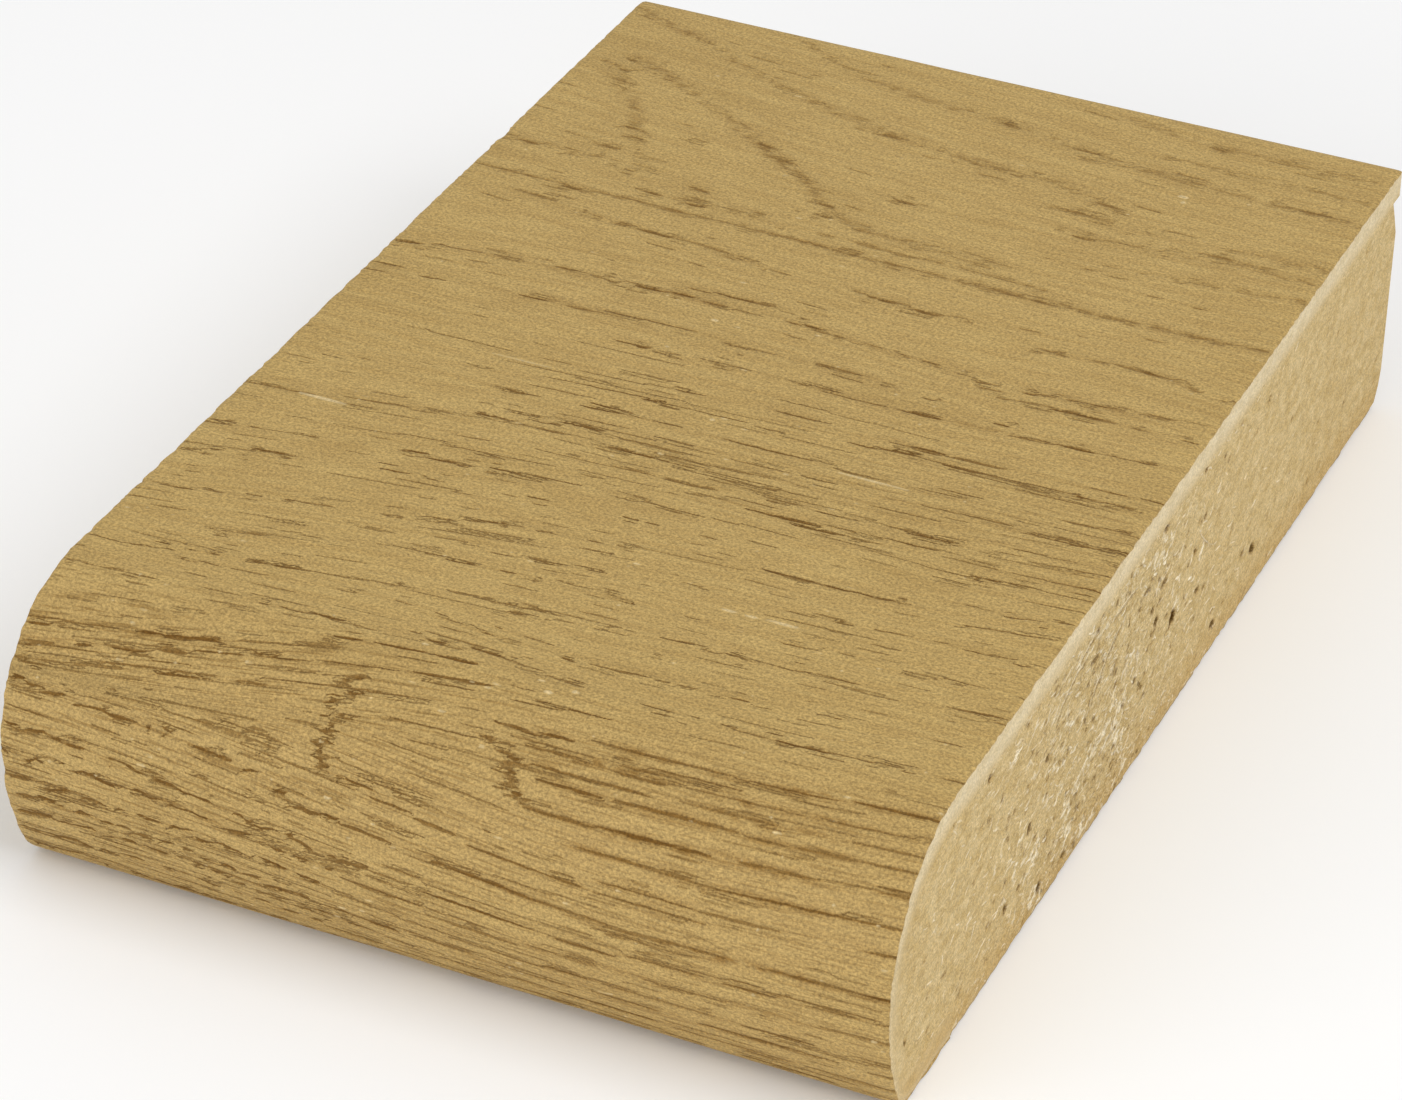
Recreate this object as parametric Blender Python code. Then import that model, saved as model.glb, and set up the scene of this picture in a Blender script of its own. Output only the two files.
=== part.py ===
"""Threshold strip: a short cut length of a bull-nosed flooring profile.

Four bonded layers make it up. A fibreboard core has the nose machined on its front edge. A pale vinyl base
sheet is bent over the top and round the nose, and a thin decor film covers that sheet. Both are turned under
the nose and end in a rebate in the core's underside. A balancing sheet covers the rest of the underside.

Frame: metres, +Z up. The origin is on the floor, at the centre of the footprint. X runs along the strip and
its grain, -Y is the rounded nose, and +Y is the square rear edge that meets the floor covering.
"""

import math

import bmesh
import bpy

# Overall size
LENGTH = 0.056
DEPTH = 0.088
THICKNESS = 0.018

# Outer curve of the nose, from the top down
NOSE_RADIUS = THICKNESS / 2
TUCK_RADIUS = 0.016
TOE_RADIUS = 0.0025

# Layers, from the outside in, and the glue line between two of them
FILM = 0.0005
BASE_SHEET = 0.0012
BACKING = 0.0005
GLUE_GAP = 0.0003

# How far behind the front of the nose the turned-under lip ends
TURN_UNDER = 0.010
# Chamfers on the core's rear corners, depth from the rear edge and height: the relief under the covering,
# and the eased lower corner
RELIEF_DEPTH, RELIEF_HEIGHT = 0.0013, 0.0028
EASE_DEPTH, EASE_HEIGHT = 0.0010, 0.0022

# Sides of the faceted arcs, in degrees
ARC_STEP = 3.0

FRONT = -DEPTH / 2
REAR = DEPTH / 2
LIP_END = FRONT + TURN_UNDER
BASE_INSET = FILM + GLUE_GAP
CORE_INSET = BASE_INSET + BASE_SHEET + GLUE_GAP
CORE_UNDERSIDE = BACKING + GLUE_GAP

# name: (linear RGB, roughness)
COLOURS = {
    "decor_film": ((0.45, 0.32, 0.12), 0.55),
    "base_sheet": ((0.70, 0.59, 0.39), 0.60),
    "core_board": ((0.58, 0.44, 0.22), 0.90),
    "backing_sheet": ((0.40, 0.30, 0.17), 0.80),
}


def clear_scene():
    """Starts from an empty scene."""
    for item in list(bpy.data.objects):
        bpy.data.objects.remove(item)


def arc(centre, radius, start, end):
    """Points of an arc in the YZ plane, both ends included. 90 degrees points up and 180 to the front."""
    steps = max(1, round(abs(end - start) / ARC_STEP))
    angles = [math.radians(start + (end - start) * i / steps) for i in range(steps + 1)]
    return [(centre[0] + radius * math.cos(a), centre[1] + radius * math.sin(a)) for a in angles]


def wrap_curve(inset):
    """The strip's outer curve moved inwards: along the top from the rear, round the nose, under to the lip.

    Three tangent arcs make the nose. The nose arc is a quarter circle from the top to the foremost point, the
    flatter tuck arc leads down and back, and the toe arc turns it onto the underside.
    """
    nose_centre = (FRONT + NOSE_RADIUS, THICKNESS - NOSE_RADIUS)
    tuck_centre = (FRONT + TUCK_RADIUS, nose_centre[1])
    toe_drop = tuck_centre[1] - TOE_RADIUS
    toe_reach = math.sqrt((TUCK_RADIUS - TOE_RADIUS) ** 2 - toe_drop**2)
    toe_centre = (tuck_centre[0] - toe_reach, TOE_RADIUS)
    toe_angle = 180 + math.degrees(math.atan2(toe_drop, toe_reach))
    nose = arc(nose_centre, NOSE_RADIUS - inset, 90, 180)
    tuck = arc(tuck_centre, TUCK_RADIUS - inset, 180, toe_angle)
    toe = arc(toe_centre, TOE_RADIUS - inset, toe_angle, 270)
    return [(REAR, THICKNESS - inset)] + nose + tuck[1:] + toe[1:] + [(LIP_END, inset)]


def sheet_outline(inset, thickness):
    """Cross-section of a sheet that follows the wrap, its outer face inset from the strip's surface."""
    return wrap_curve(inset) + wrap_curve(inset + thickness)[::-1]


def core_outline():
    """Cross-section of the core: the wrap's innermost curve, the rebate for the lip and the chamfered rear."""
    rebate = LIP_END + GLUE_GAP
    wrapped = wrap_curve(CORE_INSET)[1:-1]
    return [
        (REAR - RELIEF_DEPTH, THICKNESS - CORE_INSET),
        *wrapped,
        (rebate, CORE_INSET),
        (rebate, CORE_UNDERSIDE),
        (REAR - EASE_DEPTH, CORE_UNDERSIDE),
        (REAR, CORE_UNDERSIDE + EASE_HEIGHT),
        (REAR, THICKNESS - CORE_INSET - RELIEF_HEIGHT),
    ]


def backing_outline():
    """Cross-section of the balancing sheet, from the lip to the rear chamfer."""
    front, rear = LIP_END + GLUE_GAP, REAR - EASE_DEPTH
    return [(front, 0), (rear, 0), (rear, BACKING), (front, BACKING)]


def material(name):
    """The node's own Principled material."""
    colour, roughness = COLOURS[name]
    made = bpy.data.materials.new(name)
    made.use_nodes = True
    shader = made.node_tree.nodes["Principled BSDF"]
    shader.inputs["Base Color"].default_value = (*colour, 1)
    shader.inputs["Roughness"].default_value = roughness
    shader.inputs["Metallic"].default_value = 0
    return made


def extruded(name, outline):
    """One closed solid: the outline in the YZ plane, extruded along X over the strip's whole length."""
    shape = bmesh.new()
    corners = [shape.verts.new((-LENGTH / 2, y, z)) for y, z in outline]
    end = shape.faces.new(corners)
    swept = bmesh.ops.extrude_face_region(shape, geom=[end])["geom"]
    moved = [item for item in swept if isinstance(item, bmesh.types.BMVert)]
    bmesh.ops.translate(shape, verts=moved, vec=(LENGTH, 0, 0))
    bmesh.ops.recalc_face_normals(shape, faces=shape.faces)
    mesh = bpy.data.meshes.new(name)
    shape.to_mesh(mesh)
    shape.free()
    mesh.materials.append(material(name))
    mesh.shade_smooth()
    mesh.set_sharp_from_angle(angle=math.radians(30))
    made = bpy.data.objects.new(name, mesh)
    bpy.context.scene.collection.objects.link(made)
    return made


def build():
    """The four layers, from the core outwards."""
    clear_scene()
    extruded("core_board", core_outline())
    extruded("base_sheet", sheet_outline(BASE_INSET, BASE_SHEET))
    extruded("decor_film", sheet_outline(0, FILM))
    extruded("backing_sheet", backing_outline())


build()
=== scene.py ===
import math

import bmesh
import bpy
import numpy as np
from mathutils import Matrix, Vector


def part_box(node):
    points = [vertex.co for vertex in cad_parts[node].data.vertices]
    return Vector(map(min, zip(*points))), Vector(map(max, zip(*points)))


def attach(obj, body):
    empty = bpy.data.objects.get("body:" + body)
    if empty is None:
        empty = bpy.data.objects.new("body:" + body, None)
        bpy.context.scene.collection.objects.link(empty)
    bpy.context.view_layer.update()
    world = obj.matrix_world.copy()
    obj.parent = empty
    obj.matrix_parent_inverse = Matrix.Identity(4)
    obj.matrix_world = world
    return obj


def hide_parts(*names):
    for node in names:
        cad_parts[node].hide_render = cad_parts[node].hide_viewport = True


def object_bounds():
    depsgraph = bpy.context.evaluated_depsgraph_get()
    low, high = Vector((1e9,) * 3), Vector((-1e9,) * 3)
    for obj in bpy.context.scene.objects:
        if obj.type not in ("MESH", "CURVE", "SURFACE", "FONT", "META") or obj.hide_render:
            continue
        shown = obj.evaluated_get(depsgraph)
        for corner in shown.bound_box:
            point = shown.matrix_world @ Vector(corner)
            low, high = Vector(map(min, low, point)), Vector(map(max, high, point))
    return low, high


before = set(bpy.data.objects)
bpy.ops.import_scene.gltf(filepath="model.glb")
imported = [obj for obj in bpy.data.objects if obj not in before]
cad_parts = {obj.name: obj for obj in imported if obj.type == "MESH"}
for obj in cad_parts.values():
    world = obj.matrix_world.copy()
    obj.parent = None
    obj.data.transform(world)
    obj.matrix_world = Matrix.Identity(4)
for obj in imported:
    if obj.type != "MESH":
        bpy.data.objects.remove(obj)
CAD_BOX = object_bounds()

# A short length of bull-nosed threshold strip. Lengths are in millimetres until a mesh is made.
# x runs along the strip. On the covering, v is the way along its outer face: from the rear edge over the top,
# round the nose and under to the lip. On a cut end, y and z are the frame's own.

MM = 0.001
LOW, HIGH = (np.array(corner) / MM for corner in CAD_BOX)
GLUE_GAP = 0.3
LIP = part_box("backing_sheet")[0].y / MM - GLUE_GAP
# Chamfers on the core's rear corners: the relief under the covering, and the eased lower corner
RELIEF_DEPTH, RELIEF_HEIGHT = 1.3, 2.8
EASE_DEPTH, EASE_HEIGHT = HIGH[1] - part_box("backing_sheet")[1].y / MM, 2.2

# Radii of the outer curve's nose arc, tuck arc and toe arc, from the top down
NOSE_R = (HIGH[2] - LOW[2]) / 2
TUCK_R = 16.0
TOE_R = 2.5
# The real layers, with no gap between them
FILM = 0.22
COVER = 2.0
PAPER = 0.35

# How far from a stroke of the film its distance is followed, and the angle from which an edge is sharp
FAR = 0.45
SHARP_ANGLE = math.radians(42)

# Seeds of the random draws
BAND_SEED, FILM_SEED, RIGHT_END_SEED, LEFT_END_SEED = 11, 5, 21, 22
REAR_SEED, SHEET_SEED, PAPER_SEED = 31, 41, 51


# ---------------------------------------------------------------- curves

def curve_parts():
    """Each stretch of the outer curve: its length, and y, z and the inward normal at a way along it."""
    nose = np.array([LOW[1] + NOSE_R, HIGH[2] - NOSE_R])
    tuck = np.array([LOW[1] + TUCK_R, nose[1]])
    drop = tuck[1] - TOE_R
    reach = math.sqrt((TUCK_R - TOE_R) ** 2 - drop**2)
    toe = np.array([tuck[0] - reach, TOE_R])
    turn = math.atan2(drop, reach)

    def straight(start, direction, inward):
        return lambda t: (start[0] + direction * t, start[1] + 0 * t, 0 * t, inward + 0 * t)

    def arc(centre, radius, start):
        def at(t):
            a = start + t / radius
            return centre[0] + radius * np.cos(a), centre[1] + radius * np.sin(a), -np.cos(a), -np.sin(a)
        return at

    return [
        (HIGH[1] - nose[0], straight((HIGH[1], HIGH[2]), -1, -1)),
        (NOSE_R * math.pi / 2, arc(nose, NOSE_R, math.pi / 2)),
        (TUCK_R * turn, arc(tuck, TUCK_R, math.pi)),
        (TOE_R * (math.pi / 2 - turn), arc(toe, TOE_R, math.pi + turn)),
        (LIP - toe[0], straight((toe[0], LOW[2]), 1, 1)),
    ]


PARTS = curve_parts()
BREAKS = np.cumsum([0] + [length for length, _ in PARTS])
V_SHOULDER, V_LIP = BREAKS[1], BREAKS[-1]


def outer(v):
    """y, z and inward normal (y, z) at v on the covering's outer face."""
    v = np.asarray(v, float)
    made = np.zeros((4,) + v.shape)
    for i, (_, at) in enumerate(PARTS):
        chosen = (v >= BREAKS[i]) & ((v <= BREAKS[i + 1]) | (i == len(PARTS) - 1))
        made[:, chosen] = np.array(at(v[chosen] - BREAKS[i]))
    return made


def under(v, depth):
    """Points (y, z) at this depth under the covering's outer face."""
    y, z, ny, nz = outer(v)
    return np.stack([y + ny * depth, z + nz * depth], -1)


def spaced(*stretches):
    """Values over stretches (start, end, step), each step rounded so that the stretches meet."""
    values = [stretches[0][0]]
    for start, end, step in stretches:
        count = max(1, round((end - start) / step))
        values += [start + (end - start) * (i + 1) / count for i in range(count)]
    return np.array(values)


def knot_places(positions, scale):
    """Each position's knot, its smoothed share of the way to the next, and how many knots there are."""
    t = (positions - positions.min()) / scale
    knot = np.floor(t).astype(int)
    share = t - knot
    return knot, share * share * (3 - 2 * share), int((positions.max() - positions.min()) / scale) + 4


def smooth_noise(rng, positions, scale):
    """Smooth 1-D noise of about unit size at these positions, with bumps about scale apart."""
    i, f, count = knot_places(positions, scale)
    knots = rng.normal(size=count)
    return knots[i] * (1 - f) + knots[i + 1] * f


def smooth_noise_2d(rng, a, b, scale_a, scale_b):
    """Smooth 2-D noise of about unit size at points (a, b)."""
    ia, fa, na = knot_places(a, scale_a)
    ib, fb, nb = knot_places(b, scale_b)
    knots = rng.normal(size=(na, nb))
    low = knots[ia, ib] * (1 - fa) + knots[ia + 1, ib] * fa
    high = knots[ia, ib + 1] * (1 - fa) + knots[ia + 1, ib + 1] * fa
    return low * (1 - fb) + high * fb


# ---------------------------------------------------------------- the oak figure

# Growth-ring lines of the decor, as a few guide points (x, v) each, with how densely pores sit on the
# line, how far they scatter across it, and how dark its band of late wood is.
RINGS = [
    # the flat top, rear part: a cathedral's flank runs down from the left and levels out
    (0.55, 0.55, 0.5, (-28, 1.2), (-21, 4.0), (-15, 7.2), (-11, 8.7), (-4, 10.8), (1, 11.7), (8, 12.0),
     (13, 13.6)),
    (0.4, 0.5, 0.4, (-17, -0.5), (-12, 2.6), (-6, 4.9), (2, 5.6), (8, 7.0), (15, 8.0), (28, 8.5)),
    (0.45, 0.35, 0.4, (9, 1.2), (15, 2.5), (21, 2.5), (28, 2.6)),
    (0.25, 0.4, 0.2, (13, 5.4), (20, 5.3), (28, 5.6)),
    (0.7, 0.6, 0.5, (-25, 8.2), (-19, 11.0), (-14.5, 14.0), (-11, 16.5), (-7, 19.0), (-4.5, 22.2),
     (-1, 23.6), (8, 24.0)),
    (0.35, 0.9, 0.35, (-27, 9.0), (-24, 12.2), (-21, 15.4), (-19.5, 19.0), (-18, 22.5)),
    (0.55, 0.35, 0.4, (8, 15.0), (13, 15.6), (20, 15.5), (28, 15.1)),
    (0.35, 0.7, 0.2, (10, 17.4), (13, 17.8), (21, 17.0), (28, 17.3)),
    (0.25, 0.3, 0.2, (14, 21.0), (21, 20.5), (28, 19.8)),
    (0.3, 0.6, 0.2, (-28, 22.0), (-21, 22.4), (-13, 24.8), (-6, 24.9)),
    (0.3, 0.18, 0.2, (-4, 25.4), (4, 25.3), (12, 25.6)),
    (0.95, 0.16, 0.6, (-28, 26.6), (-8, 26.7), (9, 27.0), (18, 27.1), (28, 26.6)),
    # the middle of the top: level lines
    (0.45, 0.35, 0.2, (-24, 28.6), (-17, 29.8), (-10, 30.1), (-4, 31.0), (3, 31.3), (10, 31.4)),
    (0.35, 0.3, 0.2, (14, 32.8), (22, 32.4), (28, 33.6)),
    (0.75, 0.32, 0.4, (-28, 38.2), (-20, 36.9), (-10, 36.6), (-2, 36.5), (4, 36.9), (14, 37.9), (24, 37.3)),
    (0.45, 0.25, 0.2, (-9, 35.6), (-4, 35.2), (0, 35.7)),
    (0.45, 0.22, 0.1, (14, 39.4), (21, 38.8), (28, 39.0)),
    (0.45, 0.45, 0.4, (-28, 41.6), (-20, 41.0), (-9, 40.7), (4, 40.5), (13, 41.5)),
    (0.8, 0.18, 0.4, (-10, 43.5), (-2, 43.2), (8, 43.4), (18, 42.9), (28, 42.4)),
    (0.55, 0.2, 0.2, (-4, 47.2), (6, 46.7), (16, 46.8), (28, 46.4)),
    (0.75, 0.24, 0.2, (8, 48.0), (15, 47.9), (24, 47.8), (28, 47.5)),
    (0.5, 0.26, 0.1, (-12, 49.6), (-4, 49.0), (3, 48.7)),
    (0.5, 0.3, 0.2, (-14, 52.0), (-5, 51.4), (8, 51.2), (20, 50.9), (28, 50.6)),
    (0.8, 0.28, 0.2, (-13, 54.0), (-6, 53.3), (4, 53.0), (16, 52.8), (28, 52.4)),
    (0.55, 0.22, 0.2, (-28, 58.0), (-21, 57.2), (-14, 55.8), (-10.5, 54.9), (-5, 55.2), (4, 55.0)),
    (0.55, 0.26, 0.1, (-4, 57.0), (6, 56.2), (16, 55.8), (28, 54.0)),
    (1.00, 0.14, 0.4, (2, 57.4), (9, 57.8), (15, 57.0), (21, 57.5), (28, 56.9)),
    (0.6, 0.16, 0.2, (10, 58.6), (18, 58.9), (28, 58.0)),
    # the front of the top: lines that rise a little to the right
    (0.65, 0.34, 0.2, (-28, 63.2), (-20, 61.8), (-13, 60.8), (-8, 60.2), (0, 59.6), (6, 59.9)),
    (0.3, 0.2, 0.1, (-28, 66.8), (-23, 64.8), (-17, 63.4), (-6, 62.2), (8, 61.6)),
    (0.55, 0.12, 0.1, (9, 63.5), (17, 63.3), (28, 60.9)),
    (0.45, 0.2, 0.1, (-28, 71.2), (-20, 69.2), (-13, 67.9), (-7, 65.8), (2, 64.6)),
    (0.3, 0.2, 0.1, (-6, 68.9), (4, 67.0), (14, 66.8), (28, 65.4)),
    (0.35, 0.2, 0.1, (-20, 73.5), (-12, 70.6), (0, 70.0), (9, 69.9), (19, 69.6), (28, 69.2)),
    (0.35, 0.22, 0.1, (-24, 76.4), (-15, 75.4), (-6, 73.4), (6, 72.6), (18, 72.0), (28, 71.5)),
    (0.35, 0.24, 0.1, (-28, 77.3), (-20, 77.2), (-10, 75.6), (2, 76.9), (12, 76.2), (28, 75.0)),
    (0.45, 0.22, 0.1, (-28, 80.2), (-18, 79.3), (-8, 78.9), (-1, 78.2), (8, 79.2), (19, 78.9), (28, 78.2)),
    # the nose: a cathedral whose tips point left
    (0.75, 0.26, 0.3, (-28, 84.9), (-22, 83.9), (-17, 83.2), (-12, 81.7), (-8, 80.2), (-3, 79.6)),
    (0.6, 0.2, 0.2, (-28, 86.2), (-21, 84.9), (-15, 83.6), (-9, 82.2), (-4, 81.5), (3, 80.7)),
    (0.55, 0.2, 0.2, (-28, 87.3), (-20, 86.0), (-12, 84.6)),
    (0.85, 0.24, 0.3, (-28, 88.3), (-22, 88.8), (-17, 89.1), (-12, 89.9), (-9, 90.9), (-3, 91.6), (5, 92.4)),
    (0.9, 0.18, 0.4, (-7.6, 88.4), (-3, 89.4), (2, 90.2), (7, 90.9), (14, 91.0)),
    (0.95, 0.14, 0.8, (4.4, 82.9), (9, 82.7), (17, 82.5), (22, 82.0), (28, 81.6)),
    (0.9, 0.16, 0.8, (3.6, 84.0), (9, 83.9), (17, 83.8), (28, 83.0)),
    (0.85, 0.16, 0.8, (4.6, 84.8), (10, 84.8), (18, 84.7), (28, 84.0)),
    (0.9, 0.16, 0.8, (5.0, 85.8), (11, 85.7), (19, 85.6), (28, 85.0)),
    (1.00, 0.15, 1.0, (4.6, 87.3), (9, 87.6), (14, 87.3), (20, 87.1), (28, 86.4)),
    (0.8, 0.2, 0.8, (8, 88.7), (15, 88.9), (22, 88.6), (28, 88.2)),
    (0.45, 0.2, 0.3, (10, 90.3), (19, 90.2), (28, 89.6)),
    (1.00, 0.16, 1.0, (0, 92.0), (6, 92.7), (12, 93.0), (20, 92.8), (28, 92.5)),
    (0.7, 0.24, 0.4, (-28, 91.2), (-22, 91.4), (-16, 92.2), (-8, 93.4), (0, 94.4), (8, 94.8), (18, 94.6),
     (28, 94.2)),
    (0.7, 0.26, 0.4, (-28, 93.0), (-20, 93.1), (-13, 93.8), (-5, 95.3), (4, 96.3), (14, 96.2), (28, 95.7)),
    (0.85, 0.28, 0.4, (-28, 94.7), (-22, 94.9), (-17, 95.2), (-10, 95.9), (0, 97.4), (8, 97.8),
     (20, 97.7), (28, 97.3)),
    (0.8, 0.24, 0.4, (-28, 96.0), (-20, 96.3), (-12, 97.4), (-4, 98.4), (6, 99.0), (18, 98.8), (28, 98.5)),
    (0.9, 0.26, 0.4, (-28, 97.5), (-18, 97.4), (-10, 98.8), (-2, 99.8), (8, 100.2), (20, 100.2), (28, 99.9)),
    (0.9, 0.26, 0.4, (-28, 99.3), (-16, 99.2), (-4, 101.0), (10, 101.4), (28, 101.3)),
    (0.8, 0.3, 0.4, (-28, 100.8), (-10, 101.6), (10, 102.6), (28, 102.6)),
    (0.6, 0.4, 0.3, (-28, 103.2), (0, 104.2), (28, 104.2)),
    (0.5, 0.6, 0.3, (-28, 106.0), (0, 106.6), (28, 106.4)),
]

# Where the cathedral's rings turn at their tips, nearly across the grain
TIPS = [
    ((-7.0, 82.6), (-7.7, 84.0), (-7.8, 85.8), (-7.6, 87.4), (-7.2, 88.6)),
    ((2.0, 83.1), (3.2, 83.2), (4.4, 83.3)),
    ((1.8, 84.0), (3.0, 84.9), (4.2, 85.3)),
    ((3.0, 85.4), (3.8, 86.2), (4.9, 87.4)),
]

# The strongest single pores: (x, v) of the middle, length
ACCENTS = [
    (-4.4, 10.9, 1.6), (2.0, 5.7, 1.2), (8.2, 7.0, 2.4), (12.0, 13.4, 1.8), (16.2, 2.8, 1.6),
    (24.5, 8.3, 3.2),
    (-11.3, 15.9, 1.8), (-4.6, 21.6, 1.4), (-4.2, 23.0, 1.2), (12.1, 18.2, 1.6), (20.8, 16.6, 2.4),
    (10.4, 15.1, 2.2),
    (-13.0, 30.0, 2.4), (3.4, 31.4, 2.0), (6.6, 31.6, 2.2), (21.6, 32.4, 2.8), (-10.4, 36.7, 2.2),
    (-8.1, 36.4, 1.8),
    (-4.6, 35.3, 3.2), (1.0, 36.5, 1.4), (-26.8, 38.1, 2.0), (19.6, 39.0, 3.6), (12.8, 38.1, 1.0),
    (-7.8, 43.5, 1.0),
    (21.2, 42.8, 2.6), (16.0, 42.2, 1.2), (15.6, 48.0, 2.6), (12.0, 47.6, 1.8), (23.4, 47.8, 1.4),
    (-4.0, 49.1, 2.4),
    (-7.0, 53.7, 3.0), (-6.4, 50.9, 3.0), (-2.2, 55.1, 4.8), (-12.6, 55.1, 2.4), (17.0, 55.9, 3.6),
    (10.4, 58.1, 3.4),
    (-12.4, 60.9, 3.2), (-9.0, 60.3, 2.4), (14.6, 63.3, 5.0), (-22.6, 64.6, 2.4), (-7.2, 65.8, 1.8),
    (-16.0, 75.5, 3.2),
    (18.6, 78.9, 3.4), (-4.4, 78.5, 1.6), (-1.2, 78.2, 2.2), (-17.6, 83.2, 3.6), (-9.2, 80.3, 2.0),
    (-14.4, 89.4, 3.2),
    (-20.4, 17.6, 1.6), (-19.4, 18.8, 1.4), (-21.0, 20.6, 2.2), (-26.0, 22.4, 1.6), (-15.6, 25.2, 1.6),
    (-12.4, 25.4, 1.4),
    (-13.0, 23.4, 1.6), (-20.6, 26.9, 1.6), (-24.6, 10.2, 0.9), (-24.8, 8.6, 0.8), (-0.2, 18.9, 1.6),
    (-9.6, 17.2, 1.6),
]

# Pale scuffs and specks: (x, v) of the middle, length, width
SCUFFS = [
    (16.1, 10.1, 0.5, 0.5), (16.4, 10.8, 0.3, 0.4), (-22.6, 57.8, 3.4, 0.3), (9.4, 68.3, 1.0, 0.26),
    (10.9, 68.3, 0.7, 0.24), (12.9, 68.2, 2.0, 0.26), (11.4, 51.7, 4.8, 0.2),
    (-10.6, 55.1, 0.2, 0.34), (14.2, 75.6, 0.2, 0.2), (14.3, 76.3, 0.2, 0.24), (-0.2, 49.5, 0.2, 0.3),
    (9.9, 37.6, 0.2, 0.25),
    (-13.6, 48.3, 4.4, 0.12), (-5.0, 38.5, 0.35, 0.35), (5.0, 79.6, 0.3, 0.3), (3.6, 80.2, 0.4, 0.3),
]


def on_line(points, x):
    """v of a ring's guide line at x, its corners rounded."""
    guide = np.array(points, float)
    shifts = (-1.2, -0.6, 0, 0.6, 1.2)
    return np.mean([np.interp(x + shift, guide[:, 0], guide[:, 1]) for shift in shifts], axis=0)


class Figure:
    """The decor's figure on a coarse grid: the grain's slope, and what stays the same along the grain."""

    def __init__(self):
        count_x, count_v = 117, 460
        self.x = np.linspace(LOW[0] - 1, HIGH[0] + 1, count_x)
        self.v = np.linspace(-2, V_LIP + 2, count_v)
        x, v = np.meshgrid(self.x, self.v, indexing="ij")
        total, weight = np.zeros_like(x), np.full_like(x, 0.02)
        for _, _, _, *points in RINGS:
            for at in np.arange(points[0][0] + 1, points[-1][0], 2.0):
                before, line, after = on_line(points, np.array([at - 0.5, at, at + 0.5]))
                near = np.exp(-(((x - at) / 4.0) ** 2) - ((v - line) / 1.6) ** 2)
                total += near * (after - before)
                weight += near
        # pores lie nearly along x even where the rings run steeply
        steep = total / weight
        limit = np.where(steep > 0, 0.11, 0.24)
        self.slope = limit * np.tanh(steep / limit)
        self.along = np.zeros_like(self.slope)
        self.along[-1] = self.v
        for i in range(len(self.x) - 2, -1, -1):
            step = self.x[i + 1] - self.x[i]
            self.along[i] = np.interp(self.v + self.slope[i] * step, self.v, self.along[i + 1])

    def sample(self, field, x, v):
        """Bilinear value of a grid field at points (x, v)."""
        tx = np.clip((x - self.x[0]) / (self.x[1] - self.x[0]), 0, len(self.x) - 1.001)
        tv = np.clip((v - self.v[0]) / (self.v[1] - self.v[0]), 0, len(self.v) - 1.001)
        i, j = tx.astype(int), tv.astype(int)
        fx, fv = tx - i, tv - j
        near = field[i, j] * (1 - fv) + field[i, j + 1] * fv
        far = field[i + 1, j] * (1 - fv) + field[i + 1, j + 1] * fv
        return near * (1 - fx) + far * fx


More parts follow.
